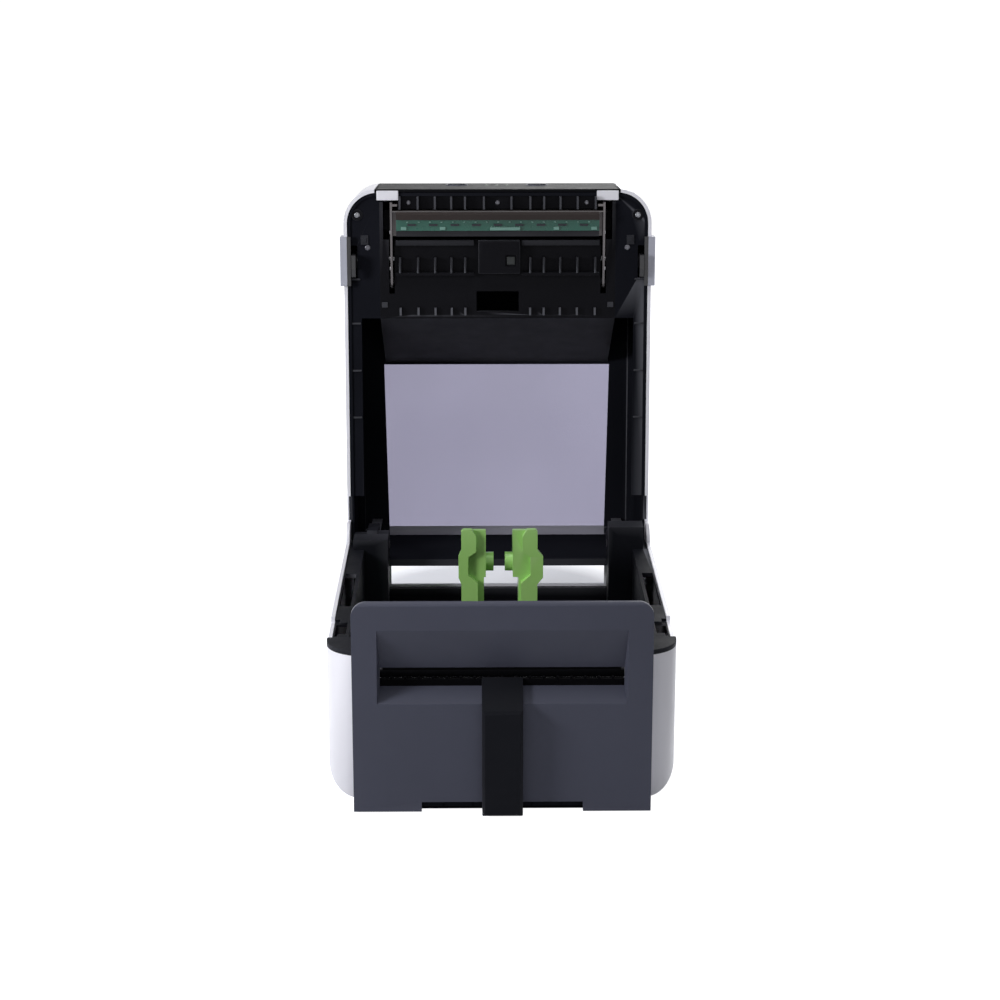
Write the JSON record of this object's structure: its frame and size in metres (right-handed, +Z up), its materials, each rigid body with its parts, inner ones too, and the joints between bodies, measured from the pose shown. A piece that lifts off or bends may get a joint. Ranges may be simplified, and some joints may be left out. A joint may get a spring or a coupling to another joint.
{
  "type": "label printer",
  "caption": "Desktop thermal label printer, lid open: white casing, green sliding roll guides, rubber platen, sprung print head and a front cutter unit.",
  "frame": {"origin": "on the table, under the middle of the open printer's footprint", "axes": "+X to the right seen from the cutter unit, +Y to the back, +Z up"},
  "size_m": [0.184, 0.3237, 0.2873],
  "materials": {
    "white_shell": "smooth satin white",
    "black_moulding": "fine matt black",
    "slate_cover": "fine satin dark grey",
    "lime_guide": "smooth lime green",
    "window_tint": "clear smoked plastic",
    "latch_grey": "smooth light grey",
    "button_dark": "satin dark grey",
    "led_lens": "clear green",
    "steel": "bright",
    "blade_steel": "ground",
    "nylon": "natural nylon",
    "platen_rubber": "ground matt black",
    "foot_rubber": "matt",
    "heat_sink": "dark anodised",
    "ceramic": "glazed ceramic",
    "circuit_board": "solder mask"
  },
  "bodies": {
    "base": {"base_shell": "white_shell", "base_frame": "black_moulding", "roll_bay": "black_moulding", "bottom_plate": "black_moulding", "feet": "foot_rubber", "rear_panel": "black_moulding", "dc_jack": "black_moulding", "usb_port": "steel", "lan_port": "steel", "main_board": "circuit_board", "front_deck": "black_moulding", "platen_bushings": "black_moulding", "drive_motor": "steel", "idler_axle": "steel", "cutter_cover": "slate_cover", "cutter_frame": "steel", "fixed_blade": "blade_steel", "cutter_motor": "steel", "slot_guide": "black_moulding", "exit_tongue": "black_moulding", "hinge_pins": "steel", "base_screws": "steel"},
    "platen": {"platen_roller": "platen_rubber", "platen_shaft": "steel", "platen_gear": "nylon"},
    "idler": {"idler_gear": "nylon"},
    "drive_pinion": {"motor_pinion": "steel"},
    "guide_left": {"media_guide_left": "lime_guide"},
    "guide_right": {"media_guide_right": "lime_guide"},
    "guide_gear": {"guide_pinion": "nylon"},
    "sensor": {"sensor_carriage": "black_moulding"},
    "blade": {"moving_blade": "blade_steel"},
    "blade_gears": {"cutter_pinions": "steel"},
    "lid": {"lid_shell": "white_shell", "lid_window": "window_tint", "lid_front_panel": "slate_cover", "lid_liner": "black_moulding", "head_frame": "black_moulding", "front_guide": "black_moulding", "lid_tabs": "white_shell", "upper_sensor": "black_moulding", "status_leds": "led_lens", "lid_screws": "steel", "control_board": "circuit_board", "head_springs": "steel"},
    "head": {"head_bracket": "steel", "head_sink": "heat_sink", "print_head": "ceramic", "head_board": "circuit_board"},
    "latch": {"latch_right": "latch_grey", "latch_left": "latch_grey", "latch_shaft": "steel"},
    "power_key": {"power_button": "button_dark"},
    "feed_key": {"feed_button": "button_dark"}
  },
  "joints": [
    {"name": "lid_hinge", "type": "hinge", "parent": "base", "child": "lid", "pos_m": [0, 0.072, 0.078], "axis": [1, 0, 0], "range_deg": [0, 93.7]},
    {"name": "head_pivot", "type": "hinge", "parent": "lid", "child": "head", "pos_m": [0, 0.09005, 0.23316], "axis": [-1, 0, 0], "range_deg": [0, 1.5], "stiffness_Nm_per_rad": 4.3, "springref_deg": -14.32, "deforming": ["head_springs"]},
    {"name": "latch_pull", "type": "slide", "parent": "lid", "child": "latch", "axis": [0, 0.0645, 0.9979], "range_m": [0, 0.004], "stiffness_N_per_m": 200, "springref_m": -0.004},
    {"name": "platen_spin", "type": "hinge", "parent": "base", "child": "platen", "pos_m": [0, -0.122, 0.066], "axis": [1, 0, 0], "continuous": true},
    {"name": "idler_spin", "type": "hinge", "parent": "base", "child": "idler", "pos_m": [0, -0.10673, 0.05073], "axis": [1, 0, 0], "continuous": true},
    {"name": "motor_spin", "type": "hinge", "parent": "base", "child": "drive_pinion", "pos_m": [0, -0.09593, 0.03786], "axis": [1, 0, 0], "continuous": true},
    {"name": "guide_left_slide", "type": "slide", "parent": "base", "child": "guide_left", "axis": [-1, 0, 0], "range_m": [0, 0.05]},
    {"name": "guide_right_slide", "type": "slide", "parent": "base", "child": "guide_right", "axis": [1, 0, 0], "range_m": [0, 0.05]},
    {"name": "guide_gear_spin", "type": "hinge", "parent": "base", "child": "guide_gear", "pos_m": [0, 0.008, 0.0154], "axis": [0, 0, 1], "range_deg": [-447.63, 0]},
    {"name": "sensor_slide", "type": "slide", "parent": "base", "child": "sensor", "axis": [1, 0, 0], "range_m": [-0.044, 0.044]},
    {"name": "blade_slide", "type": "slide", "parent": "base", "child": "blade", "axis": [0, 0, 1], "range_m": [-0.012, 0]},
    {"name": "blade_gear_spin", "type": "hinge", "parent": "base", "child": "blade_gears", "pos_m": [0, -0.1459, 0.026], "axis": [1, 0, 0], "range_deg": [-229.2, 0]},
    {"name": "power_press", "type": "slide", "parent": "lid", "child": "power_key", "axis": [0, -0.0645, -0.9979], "range_m": [0, 0.0008], "stiffness_N_per_m": 900, "springref_m": -0.001},
    {"name": "feed_press", "type": "slide", "parent": "lid", "child": "feed_key", "axis": [0, -0.0645, -0.9979], "range_m": [0, 0.0008], "stiffness_N_per_m": 900, "springref_m": -0.001}
  ],
  "couplings": [
    {"joint": "idler_spin", "follows": "platen_spin", "ratio": -1},
    {"joint": "motor_spin", "follows": "platen_spin", "ratio": 1.8},
    {"joint": "guide_right_slide", "follows": "guide_left_slide", "ratio": 1},
    {"joint": "guide_gear_spin", "follows": "guide_left_slide", "rad_per_m": -156.25},
    {"joint": "blade_gear_spin", "follows": "blade_slide", "rad_per_m": 333.33}
  ]
}
